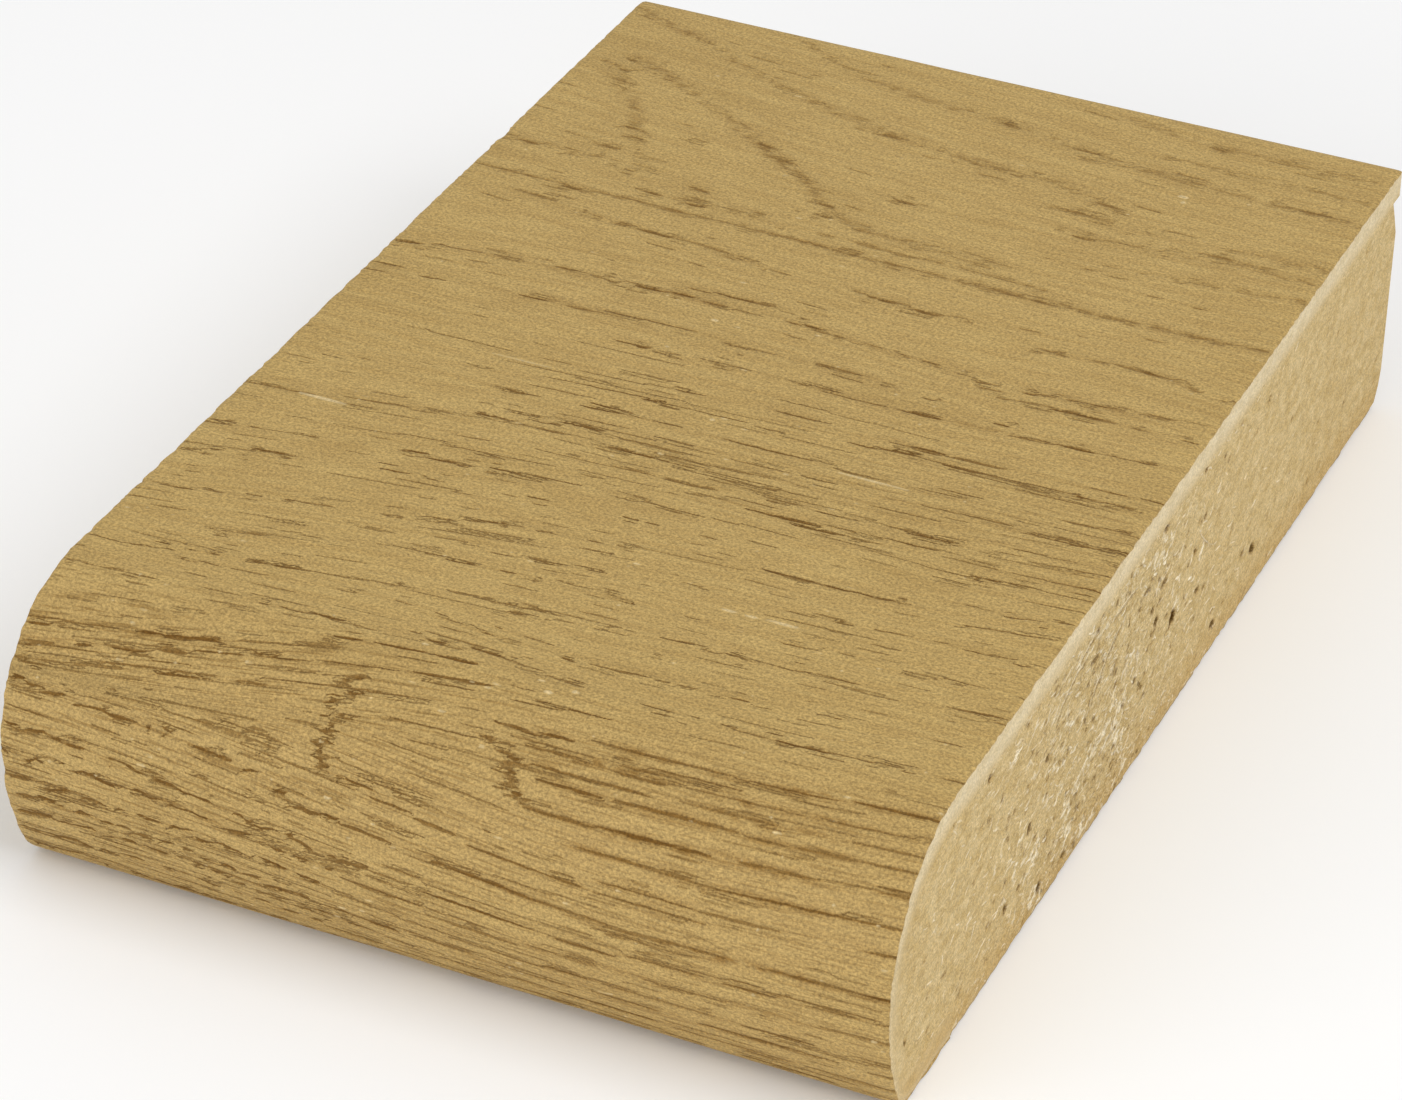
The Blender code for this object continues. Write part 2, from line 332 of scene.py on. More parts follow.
def pore_strokes(figure, rng):
    """Every pore as a list of points (x, v, half-width), with how deep it is."""
    strokes = []

    def pore(x, v, length, width, depth, wiggle=0.02, tilt=0.0):
        count = max(3, int(length / 0.4) + 2)
        t = np.linspace(-1, 1, count)
        slope = figure.sample(figure.slope, np.full(1, x), np.full(1, v))[0] + tilt
        xs = x + 0.5 * length * t
        vs = v + slope * (xs - x) + rng.normal(size=count) * wiggle
        half = 0.5 * width * np.sqrt(1 - 0.94 * t * t) * rng.uniform(0.65, 1.2, count)
        strokes.append((np.stack([xs, vs, half], 1), depth))

    # pores gathered on the ring lines: crowded and faint at the rear, long and crisp on the nose
    for strength, scatter, _, *points in RINGS:
        middle = points[len(points) // 2][1]
        places = np.arange(points[0][0] - 3, points[-1][0] + 9, 0.5)
        clump = smooth_noise(rng, places, 4.0)
        x = points[0][0] + rng.uniform(0, 0.5)
        while x < points[-1][0]:
            curly = middle > 89 and x < -6 + 2 * rng.normal()
            if middle > V_SHOULDER:
                typical = 1.0 if curly else np.interp(x, (-28, -4, 8), (2.2, 2.8, 5.5))
            else:
                typical = np.interp(middle, (20, 40, 46, 58, 62), (0.6, 1.4, 3.2, 3.2, 1.3))
            length = float(typical * rng.lognormal(0, 0.45))
            faint = float(np.interp(middle, (16, 44), (0.35, 1.0)))
            for _ in range(2 if middle < 34 else 1):
                at = x + 0.5 * length + 0.2 * rng.normal()
                v = float(on_line(points, at)) + rng.normal() * scatter * 0.5
                width = rng.uniform(0.07, np.interp(middle, (30, 44, 79, 82), (0.24, 0.15, 0.15, 0.23)))
                if curly:
                    pore(
                        at, v, length, rng.uniform(0.14, 0.25), rng.uniform(0.8, 1.0), 0.06,
                        0.08 * rng.normal(),
                    )
                else:
                    pore(at, v, length, width, faint * rng.uniform(0.5, 1.0))
            calm = middle > V_SHOULDER and x > -4
            for _ in range(2):
                if rng.uniform() < (0.22 if calm else 0.55):
                    v = float(on_line(points, x)) + rng.normal() * 0.35
                    pore(x + length * rng.uniform(), v, 0.7 * length, 0.08, faint * rng.uniform(0.4, 0.9))
            gap = rng.exponential(typical * (1.15 - strength)) * math.exp(-0.6 * np.interp(x, places, clump))
            gap *= np.interp(middle, (34, 40, 48, 58, 62, 78, 82), (1.0, 1.5, 0.9, 0.9, 2.0, 2.2, 0.8))
            x += length + min(gap, 5.0)
    # the tips, where short pores stand side by side across the line
    for points in TIPS:
        guide = np.array(points)
        for a, b in zip(guide[:-1], guide[1:]):
            count = max(2, int(np.linalg.norm(b - a) / 0.17))
            for k in range(count):
                at = a + (b - a) * (k + rng.uniform()) / count
                pore(
                    at[0] + 0.4 * rng.normal(), at[1], rng.uniform(0.4, 1.3),
                    rng.uniform(0.09, 0.19), rng.uniform(0.55, 1.0), 0.04,
                )
    for x, v, length in ACCENTS:
        depth = float(np.interp(v, (16, 44), (0.65, 1.0)))
        pore(x, v, length, np.interp(v, (30, 46, 76, 82), (0.28, 0.14, 0.14, 0.18)), depth, 0.03)
        for _ in range(4):
            pore(
                x + rng.normal() * length * 0.6, v + rng.normal() * 0.3, length * rng.uniform(0.2, 0.6),
                rng.uniform(0.05, 0.12), depth * rng.uniform(0.3, 0.8),
            )
    # single fine pores everywhere, more of them towards the nose
    for _ in range(1150):
        x, v = rng.uniform(LOW[0], HIGH[0]), rng.uniform(0, V_LIP)
        if rng.uniform() < np.interp(v, (42, 72), (0.15, 1.0)):
            pore(x, v, rng.uniform(0.4, 2.6), rng.uniform(0.05, 0.12), rng.uniform(0.25, 0.65))
    # and long hair lines, most of them on the nose
    for _ in range(500):
        x, v = rng.uniform(LOW[0], HIGH[0]), rng.uniform(44, V_LIP)
        chance = 0.5 if v < 60 and x > -12 else 0.2
        if v > 81:
            chance = np.interp(x, (-4, 6), (1.0, 0.4))
        if rng.uniform() < chance:
            pore(x, v, rng.uniform(2.0, 8.0), rng.uniform(0.05, 0.1), rng.uniform(0.35, 0.8), 0.015)
    return strokes


def to_segment(p, q, a, b):
    """From points (p, q) to a stroke's segment: distance to its edge, offset from its middle, half-width."""
    dp, dq = b[0] - a[0], b[1] - a[1]
    length = math.hypot(dp, dq) + 1e-9
    t = ((p - a[0]) * dp + (q - a[1]) * dq) / length**2
    on = np.clip(t, 0, 1)
    half = a[2] + (b[2] - a[2]) * on
    distance = np.hypot(p - a[0] - on * dp, q - a[1] - on * dq) - half
    return distance, ((q - a[1]) * dp - (p - a[0]) * dq) / length, half - np.abs(t - on) * length


def draw(strokes, xs, vs, reach=FAR):
    """The stroke nearest each grid point: distance to its edge, offset from its middle, half-width, depth."""
    shape = (len(xs), len(vs))
    found = np.array([np.full(shape, reach), np.full(shape, reach), np.zeros(shape), np.zeros(shape)])
    for points, deep in strokes:
        for a, b in zip(points[:-1], points[1:]):
            i0 = np.searchsorted(xs, min(a[0], b[0]) - reach)
            i1 = np.searchsorted(xs, max(a[0], b[0]) + reach)
            j0 = np.searchsorted(vs, min(a[1], b[1]) - reach)
            j1 = np.searchsorted(vs, max(a[1], b[1]) + reach)
            if i0 < i1 and j0 < j1:
                made = to_segment(xs[i0:i1, None], vs[None, j0:j1], a, b)
                here = found[:, i0:i1, j0:j1]
                nearer = made[0] < here[0]
                for layer, value in zip(here, made):
                    layer[nearer] = value[nearer]
                here[3][nearer] = deep
    return found


def band_tone(xs, vs):
    """Darkness of the late-wood bands, from 0 to about 1, at the grid points."""
    tone = np.zeros((len(xs), len(vs)))
    rng = np.random.default_rng(BAND_SEED)
    for strength, scatter, band, *points in RINGS:
        line = on_line(points, xs)
        inside = np.clip((xs - points[0][0]) / 2 + 0.5, 0, 1) * np.clip((points[-1][0] - xs) / 2 + 0.5, 0, 1)
        patchy = np.clip(0.8 + 0.45 * smooth_noise(rng, xs, 3.0), 0.15, 1.5)
        width = 0.16 + 1.0 * scatter
        tone += band * (inside * patchy)[:, None] * np.exp(-(((vs[None, :] - line[:, None]) / width) ** 2))
    return np.clip(tone, 0, 1.3)


# ---------------------------------------------------------------- meshes

def make_mesh(name, points, faces, attributes=None):
    """A mesh object from points in mm. An attribute is (name, values)."""
    mesh = bpy.data.meshes.new(name)
    mesh.from_pydata((np.asarray(points) * MM).tolist(), [], faces)
    shape = bmesh.new()
    shape.from_mesh(mesh)
    bmesh.ops.recalc_face_normals(shape, faces=shape.faces)
    shape.to_mesh(mesh)
    shape.free()
    for label, values in (attributes or {}).items():
        made = mesh.attributes.new(label, "FLOAT", "POINT")
        made.data.foreach_set("value", np.asarray(values, np.float32))
    mesh.shade_smooth()
    mesh.set_sharp_from_angle(angle=SHARP_ANGLE)
    made = bpy.data.objects.new(name, mesh)
    bpy.context.scene.collection.objects.link(made)
    return made


def grid_faces(index, flip=False):
    """Quads over a 2-D array of vertex numbers."""
    a, b, c, d = index[:-1, :-1], index[1:, :-1], index[1:, 1:], index[:-1, 1:]
    quads = np.stack([a, b, c, d], -1).reshape(-1, 4)
    return quads[:, ::-1].tolist() if flip else quads.tolist()


def cut_waver(rng, along, size=0.05):
    """Small in-and-out waver of a sawn arris."""
    return size * (0.6 * smooth_noise(rng, along, 1.6) + 0.5 * smooth_noise(rng, along, 0.5))


def film():
    """The decor film: a closed skin whose outer face carries the embossed pores."""
    rng = np.random.default_rng(FILM_SEED)
    figure = Figure()
    xs = spaced(
        (LOW[0], LOW[0] + 1, 0.25), (LOW[0] + 1, -9, 0.45), (-9, 6.5, 0.26),
        (6.5, HIGH[0] - 1, 0.45), (HIGH[0] - 1, HIGH[0], 0.25),
    )
    vs = spaced((0, 1, 0.15), (1, 36, 0.24), (36, 79, 0.165), (79, 102, 0.13), (102, V_LIP, 0.3))
    distance, offset, half, depth = draw(pore_strokes(figure, rng), xs, vs)
    scuffs = [
        (np.array([
            [x - 0.5 * length, v, 0.3 * width], [x, v, 0.5 * width], [x + 0.5 * length, v, 0.2 * width],
        ]), 1.0)
        for x, v, length, width in SCUFFS
    ]
    for _ in range(260):
        x, v = rng.uniform(LOW[0], HIGH[0]), 101 - 93 * rng.uniform() ** 1.4
        size = rng.uniform(0.04, 0.09)
        scuffs.append((np.array([[x, v, size], [x + rng.uniform(0.05, 0.4), v, size * 0.6]]), 1.0))
    pale = draw(scuffs, xs, vs)[0]
    grid_x, grid_v = np.meshgrid(xs, vs, indexing="ij")
    tone = band_tone(xs, vs)
    along = figure.sample(figure.along, grid_x, grid_v)
    rightward = 1 / (1 + np.exp(-(grid_x - 2) / 3))
    hairy = 0.12 + (0.85 - 0.35 * rightward) * np.clip((grid_v - 78) / 5, 0, 1) + 0.25 * np.clip(tone, 0, 1)
    hairy += 0.45 * np.exp(-(((grid_v - 52) / 7) ** 2)) * rightward

    # emboss: the wider pores are pressed in, the wood between them undulates a little with the rings
    sunk = depth * np.clip((0.12 - distance) / 0.24, 0, 1) * np.clip(half / 0.08, 0, 1) * 0.1
    relief = 0.01 * smooth_noise_2d(rng, grid_x, along, 6.0, 0.6) - 0.015 * tone
    edge = np.minimum(grid_x - LOW[0], HIGH[0] - grid_x)
    arris = 0.07 * np.exp(-edge / 0.16) + 0.09 * np.exp(-grid_v / 0.16)
    inward = np.clip(sunk - relief + 0.03 + arris, 0.0, 0.19)
    y, z, ny, nz = outer(vs)
    flat = np.where(vs > BREAKS[-2] - 0.5, 0.35, 1.0)
    inward = inward * flat[None, :]
    px = grid_x.copy()
    px[0] += np.abs(cut_waver(rng, vs, 0.08))
    px[-1] -= np.abs(cut_waver(rng, vs, 0.08))
    py = y[None, :] + ny[None, :] * inward
    pz = z[None, :] + nz[None, :] * inward
    outside = np.stack([px, py, pz], -1)
    nx, nv = len(xs), len(vs)
    inner = under(vs, FILM)
    rims = [np.column_stack([px[0] + 0.02, inner]), np.column_stack([px[-1] - 0.02, inner])]
    points = np.concatenate([outside.reshape(-1, 3)] + rims)
    index = np.arange(nx * nv).reshape(nx, nv)
    left, right = nx * nv + np.arange(nv), nx * nv + nv + np.arange(nv)
    faces = grid_faces(index, flip=True)
    for sides in ([index[0], left], [right, index[-1]], [left, right]):
        faces += grid_faces(np.stack(sides))
    faces.append(index[:, 0].tolist() + [int(right[0]), int(left[0])])
    faces.append(index[::-1, -1].tolist() + [int(left[-1]), int(right[-1])])
    # each attribute on the outer face, and on the two inner rims
    none, rim_v = np.zeros(2 * nv), np.tile(vs, 2)
    fields = {
        "u": (grid_x, points[nx * nv:, 0]), "v": (grid_v, rim_v), "grain": (along, rim_v),
        "pore": (distance, none + FAR), "offset": (offset, none + FAR), "half": (half, none),
        "deep": (depth, none), "band": (tone, none), "hairy": (hairy, none), "pale": (pale, none + FAR),
    }
    attributes = {key: np.concatenate([face.ravel(), rim]) for key, (face, rim) in fields.items()}
    return make_mesh("film_skin", points, faces, attributes)


# ---------------------------------------------------------------- the cut ends

def coons(bottom, top, front, rear):
    """A grid of points (i from front to rear, j from bottom to top) filling four joined sides."""
    ni, nj = len(bottom), len(front)
    u, w = np.linspace(0, 1, ni)[:, None, None], np.linspace(0, 1, nj)[None, :, None]
    across = (1 - w) * bottom[:, None] + w * top[:, None]
    upright = (1 - u) * front[None] + u * rear[None]
    corners = (1 - u) * (1 - w) * bottom[0] + u * (1 - w) * bottom[-1]
    corners = corners + (1 - u) * w * top[0] + u * w * top[-1]
    return across + upright - corners


def resample(path, weights):
    """Points at these shares (0 to 1) of a path's length."""
    path = np.array(path, float)
    steps = np.concatenate([[0], np.cumsum(np.linalg.norm(np.diff(path, axis=0), axis=1))])
    at = np.asarray(weights) * steps[-1]
    return np.stack([np.interp(at, steps, path[:, 0]), np.interp(at, steps, path[:, 1])], 1)


# Pits in the right end's core: (y, z, length along y, height, tilt)
PITS = [
    (1.3, 7.7, 1.05, 0.85, 0.1), (-22.7, 7.4, 0.7, 0.55, 0.3), (-29.9, 15.5, 0.5, 0.5, 0.0),
    (-29.6, 12.4, 0.8, 0.22, -0.9),
    (-26.1, 3.8, 0.65, 0.5, 0.2), (-24.0, 4.0, 0.45, 0.3, -0.2), (-20.5, 1.6, 0.7, 0.6, -0.3),
    (-16.4, 1.3, 0.55, 0.35, 0.0),
    (-13.0, 13.2, 1.3, 0.3, -0.15), (-1.2, 15.6, 0.95, 0.35, -0.2), (-5.2, 12.1, 0.65, 0.25, -0.1),
    (-3.9, 12.7, 0.95, 0.28, -0.35),
    (-0.9, 11.5, 0.75, 0.32, -0.2), (-1.9, 9.3, 0.85, 0.5, -0.15), (5.9, 6.9, 0.9, 0.42, -0.35),
    (7.2, 6.4, 0.6, 0.22, -0.3),
    (4.9, 10.4, 0.6, 0.4, -0.3), (6.4, 12.1, 0.5, 0.3, 0.0), (5.8, 15.8, 0.6, 0.28, -0.3),
    (17.0, 3.5, 1.2, 0.62, -0.35),
    (9.7, 2.1, 1.05, 0.55, -0.3), (14.9, 4.4, 0.7, 0.3, -0.4), (-41.5, 4.8, 0.4, 0.6, 0.2),
    (-20.3, 10.8, 0.5, 0.45, -0.3),
    (-18.7, 16.3, 0.6, 0.22, 0.0), (-5.3, 7.0, 0.55, 0.28, 0.0), (-9.0, 9.9, 0.45, 0.25, 0.0),
    (-14.0, 9.5, 0.45, 0.22, 0.0),
    (-26.3, 6.0, 0.35, 0.25, 0.0), (-35.3, 15.9, 0.3, 0.22, 0.0), (-2.8, 10.6, 0.45, 0.4, 0.0),
    (-10.6, 16.2, 0.4, 0.22, 0.0),
]

# Tufts of raised fibre, pale and partly brightened with painted highlight: (y, z, spread along y, spread in
# z, how many)
TUFTS = [
    (-21.3, 1.4, 0.8, 0.35, 14), (-16.6, 2.9, 0.8, 0.6, 14), (-25.7, 14.1, 0.4, 0.4, 7),
    (-8.4, 6.9, 1.6, 0.5, 16),
    (-9.3, 5.2, 1.0, 0.6, 14), (-8.0, 4.4, 0.5, 1.1, 12), (-11.0, 6.3, 1.2, 0.3, 12),
    (-16.0, 5.4, 0.9, 0.6, 12),
    (-21.6, 4.7, 1.1, 0.6, 14), (-19.5, 8.5, 1.0, 0.6, 10), (-17.4, 11.0, 1.0, 0.6, 10),
    (-14.0, 14.8, 2.5, 1.1, 22),
    (-6.6, 9.2, 0.8, 0.6, 10), (-1.8, 13.4, 1.6, 0.9, 16), (-13.2, 1.2, 1.0, 0.3, 10),
    (-8.0, 1.4, 1.2, 0.4, 10),
    (-24.4, 7.4, 1.2, 1.2, 14), (1.6, 10.2, 0.9, 0.8, 8), (4.0, 9.0, 1.6, 1.2, 12),
    (-4.6, 16.2, 3.0, 0.5, 14),
]

# Arcs that the saw left on the right end: (y, z, length, tilt, bend)
ARC_STRANDS = [
    (-11.6, 11.5, 6.4, 0.58, -0.5), (-10.6, 12.2, 5.2, 0.5, -0.4), (-16.9, 13.7, 6.2, 0.3, -0.5),
    (-8.0, 14.3, 4.4, -0.05, -0.2),
    (-14.2, 15.0, 3.6, 0.15, -0.2), (6.8, 10.2, 4.2, -0.75, 0.2),
]


def busy_middle(right):
    """y of the middle of a cut end's pitted, fibrous part."""
    return -12 if right else -4


def end_strokes(rng, right):
    """Pits, fibres and saw arcs of a cut end, as strokes like the pores'."""
    pits, fibres = [], []

    def stroke(store, y, z, length, width, tilt, depth=1.0, bend=0.0):
        t = np.linspace(-1, 1, 5)
        c, s = math.cos(tilt), math.sin(tilt)
        a, b = 0.5 * length * t, bend * (t * t - 0.5)
        half = 0.5 * width * np.sqrt(1 - 0.9 * t * t) * rng.uniform(0.75, 1.15, 5)
        store.append((np.stack([y + a * c - b * s, z + a * s + b * c, half], 1), depth))

    if right:
        marks, tufts = PITS, TUFTS
    else:
        middle, spread = busy_middle(right), 14
        marks = [
            (
                rng.normal(middle, spread), rng.uniform(1.5, 15.8), rng.uniform(0.35, 1.2),
                rng.uniform(0.2, 0.6), rng.normal() * 0.25,
            )
            for _ in range(34)
        ]
        tufts = [
            (
                rng.normal(middle, spread), rng.uniform(1.5, 15.0), rng.uniform(0.5, 2.0),
                rng.uniform(0.3, 0.8), 11,
            )
            for _ in range(20)
        ]
    for y, z, length, height, tilt in marks:
        depth = min(1.0, 0.4 + 0.75 * height)
        stroke(pits, y, z, max(0.05, length - height * 0.5), height * 0.72, tilt, depth)
        for _ in range(2):
            stroke(
                pits, y + rng.normal() * 0.2 * length, z + rng.normal() * 0.3 * height,
                0.4 * length, 0.35 * height, tilt, 0.8 * depth,
            )
    for _ in range(900):
        y, z = rng.uniform(-43, 43), rng.uniform(0.4, 16.4)
        if rng.uniform() < 0.1 + 0.9 * math.exp(-(((y - busy_middle(right)) / 13) ** 2)):
            stroke(
                pits, y, z, rng.uniform(0.1, 0.45), rng.uniform(0.05, 0.14),
                rng.normal() * 0.5, rng.uniform(0.2, 0.65),
            )
    for y, z, dy, dz, count in tufts:
        for _ in range(count):
            stroke(
                fibres, y + rng.normal() * dy, z + rng.normal() * dz, rng.uniform(0.3, 0.95),
                rng.uniform(0.11, 0.22), rng.normal(0.1, 0.5), rng.uniform(0.4, 0.95), rng.normal() * 0.05,
            )
    for y, z, length, tilt, bend in ARC_STRANDS if right else ():
        # each arc is a pale strand with a faint dark line just below it, carrying the fibres' painted
        # highlight and the pits' painted shade
        stroke(fibres, y, z, length, 0.09, tilt, 0.55, bend)
        stroke(pits, y + 0.1, z - 0.2, length * 0.8, 0.05, tilt, 0.3, bend)
    for _ in range(900):
        y, z = rng.normal(busy_middle(right), 14), rng.uniform(0.4, 16.4)
        stroke(
            fibres, y, z, rng.uniform(0.25, 1.1), rng.uniform(0.06, 0.14),
            rng.normal(0.1, 0.5), rng.uniform(0.2, 0.7), rng.normal() * 0.06,
        )
    return pits, fibres


def saw_arcs(y, z, side):
    """Height of the saw's shallow arcs on a cut end, about -1 to 1."""
    centre_y, centre_z, pitch = side
    r = np.hypot(y - centre_y, z - centre_z)
    return np.sin(2 * np.pi * r / pitch + 1.3 * np.sin(r * 0.37)) * (0.6 + 0.4 * np.sin(r * 0.11 + 1.0))


def end_fields(y, z, right):
    """Attributes and outward relief in mm of a cut end at points (y, z)."""
    rng = np.random.default_rng(RIGHT_END_SEED if right else LEFT_END_SEED)
    pits, fibres = end_strokes(rng, right)
    order = np.argsort(y.ravel(), kind="stable")
    sy, sz = y.ravel()[order], z.ravel()[order]

    def nearest(strokes, reach):
        """As draw() gives, for loose points."""
        found = np.repeat([[reach], [reach], [0.0], [0.0]], len(sy), axis=1)
        for path, depth in strokes:
            i0, i1 = np.searchsorted(sy, (path[:, 0].min() - reach - 0.2, path[:, 0].max() + reach + 0.2))
            room = reach + 0.3 + np.ptp(path[:, 1]) / 2
            near = np.nonzero(np.abs(sz[i0:i1] - path[:, 1].mean()) < room)[0] + i0
            if len(near):
                for a, b in zip(path[:-1], path[1:]):
                    made = to_segment(sy[near], sz[near], a, b)
                    nearer = made[0] < found[0, near]
                    found[:3, near[nearer]] = np.array(made)[:, nearer]
                    found[3, near[nearer]] = depth
        unsorted = np.empty_like(found)
        unsorted[:, order] = found
        return unsorted.reshape((4,) + y.shape)

    pit, _, _, pit_depth = nearest(pits, 0.5)
    fibre, fibre_offset, fibre_half, fibre_depth = nearest(fibres, 0.3)
    arcs = saw_arcs(y, z, (4.0, -9.0, 2.3) if right else (-16.0, 30.0, 2.6))
    rough = smooth_noise_2d(rng, y, z, 0.5, 0.35) + 0.7 * smooth_noise_2d(rng, y, z, 0.25, 0.22)
    busy = np.exp(-(((y - busy_middle(right)) / 15) ** 2))
    relief = 0.012 * arcs * (0.3 + 0.7 * busy) + (0.006 + 0.014 * busy) * rough
    relief -= pit_depth * np.clip(0.35 - pit / 0.22, 0, 1.6) ** 1.2 * 0.3
    relief += fibre_depth * np.clip(0.5 - fibre / 0.16, 0, 1) * 0.06
    from_sheet = HIGH[2] - COVER - z
    # the sheet turns board-coloured round the nose
    crown = NOSE_R - COVER - np.hypot(y - LOW[1] - NOSE_R, z - HIGH[2] + NOSE_R)
    from_sheet = np.where((y < LOW[1] + NOSE_R) & (z > HIGH[2] - NOSE_R), crown, from_sheet)
    from_sheet = from_sheet + np.clip((LOW[1] + 11 - y) / 8, 0, 1)
    return (pit, pit_depth, fibre, fibre_offset, fibre_half, fibre_depth, busy, from_sheet), relief


def core_outline():
    """The core's sides as paths of (y, z): bottom and top from front to rear, front and rear upwards."""
    upper_corner, lower_corner = V_SHOULDER + 4.5, BREAKS[3] + 1.0
    front = under(np.linspace(upper_corner, lower_corner, 60), COVER)[::-1]
    top = under(np.linspace(upper_corner, 0, 200), COVER)
    bottom = under(np.linspace(lower_corner, V_LIP, 60), COVER)
    ledge = [HIGH[1] - RELIEF_DEPTH, HIGH[2] - COVER]
    foot = [HIGH[1] - EASE_DEPTH, PAPER]
    top = np.vstack([top[top[:, 0] < ledge[0]], [ledge]])
    bottom = np.vstack([bottom, [[LIP + 0.05, PAPER], foot]])
    rear = np.array([
        foot,
        [HIGH[1] - 0.35 * EASE_DEPTH, PAPER + 0.45 * EASE_HEIGHT],
        [HIGH[1], PAPER + EASE_HEIGHT],
        [HIGH[1], HIGH[2] - COVER - RELIEF_HEIGHT],
        [HIGH[1] - 0.55 * RELIEF_DEPTH, HIGH[2] - COVER - 0.42 * RELIEF_HEIGHT],
        ledge,
    ])
    return bottom, top, front, rear


def core():
    """The fibreboard core: pitted sawn ends, a machined rear edge, and plain faces where it is bonded."""
    bottom, top, front, rear = core_outline()
    share = spaced((0, 0.13, 0.0034), (0.13, 0.7, 0.002), (0.7, 1, 0.0034))
    upright = np.linspace(0, 1, 96)
    ends = coons(
        resample(bottom, share), resample(top, share), resample(front, upright), resample(rear, upright),
    )
    ni, nj = ends.shape[:2]
    y, z = ends[..., 0], ends[..., 1]
    blocks, values = [], []
    i, j = np.indices((ni, nj))
    step = np.minimum(np.minimum(i, ni - 1 - i), np.minimum(j, nj - 1 - j))
    for sign in (-1, 1):
        fields, relief = end_fields(y, z, sign > 0)
        depth = np.clip(0.06 - relief * np.clip(step / 2, 0, 1), 0.0, 0.75)
        blocks.append(np.stack([sign * (HIGH[0] - depth), y, z], -1).reshape(-1, 3))
        values.append([field.ravel() for field in fields])
    # the rear edge, finely divided for its own fibre texture
    rng = np.random.default_rng(REAR_SEED)
    xs = np.linspace(-1, 1, 110)[1:-1]
    rear_line = ends[-1]
    left_x, right_x = blocks[0].reshape(ni, nj, 3)[-1, :, 0], blocks[1].reshape(ni, nj, 3)[-1, :, 0]
    grid_t, _ = np.meshgrid((xs + 1) / 2, np.arange(nj), indexing="ij")
    rear_x = left_x[None, :] * (1 - grid_t) + right_x[None, :] * grid_t
    rear_z = np.repeat(rear_line[None, :, 1], len(xs), 0)
    cutter_pitch = 2.4
    bump = smooth_noise_2d(rng, rear_x, rear_z, 0.8, 0.4) * 0.02
    bump += 0.015 * np.sin(rear_x * 2 * math.pi / cutter_pitch)
    bump += 0.02 * smooth_noise_2d(rng, rear_x, rear_z, 4.0, 0.5)
    inner = np.clip(np.minimum(np.arange(nj), np.arange(nj)[::-1]) / 2, 0, 1)[None, :]
    rear_y = rear_line[None, :, 0] - np.clip(0.06 + bump * inner, 0, 0.2) * inner
    block = np.stack([rear_x, rear_y, rear_z], -1)
    points = np.concatenate(blocks + [block.reshape(-1, 3)])
    n = ni * nj
    li, ri = np.arange(n).reshape(ni, nj), n + np.arange(n).reshape(ni, nj)
    mid = 2 * n + np.arange(len(xs) * nj).reshape(len(xs), nj)
    faces = grid_faces(li, flip=True) + grid_faces(ri)
    rear_index = np.concatenate([li[-1:], mid, ri[-1:]])
    faces += grid_faces(rear_index, flip=True)
    faces += grid_faces(np.stack([li[0], ri[0]]))
    faces += grid_faces(np.stack([li[:-1, 0], ri[:-1, 0]]), flip=True)
    faces += grid_faces(np.stack([li[:-1, -1], ri[:-1, -1]]))
    faces.append([int(li[-2, 0]), int(ri[-2, 0])] + rear_index[::-1, 0].tolist())
    faces.append([int(ri[-2, -1]), int(li[-2, -1])] + rear_index[:, -1].tolist())
    extra = len(xs) * nj
    keys = ("pit", "pit_deep", "fibre", "fibre_offset", "fibre_half", "fibre_up", "busy", "from_sheet")
    plain = (0.5, 0, 0.3, 0.3, 0, 0, 0.15, 5.0)
    attributes = {
        key: np.concatenate([values[0][k], values[1][k], np.full(extra, plain[k])])
        for k, key in enumerate(keys)
    }
    return make_mesh("core_block", points, faces, attributes)


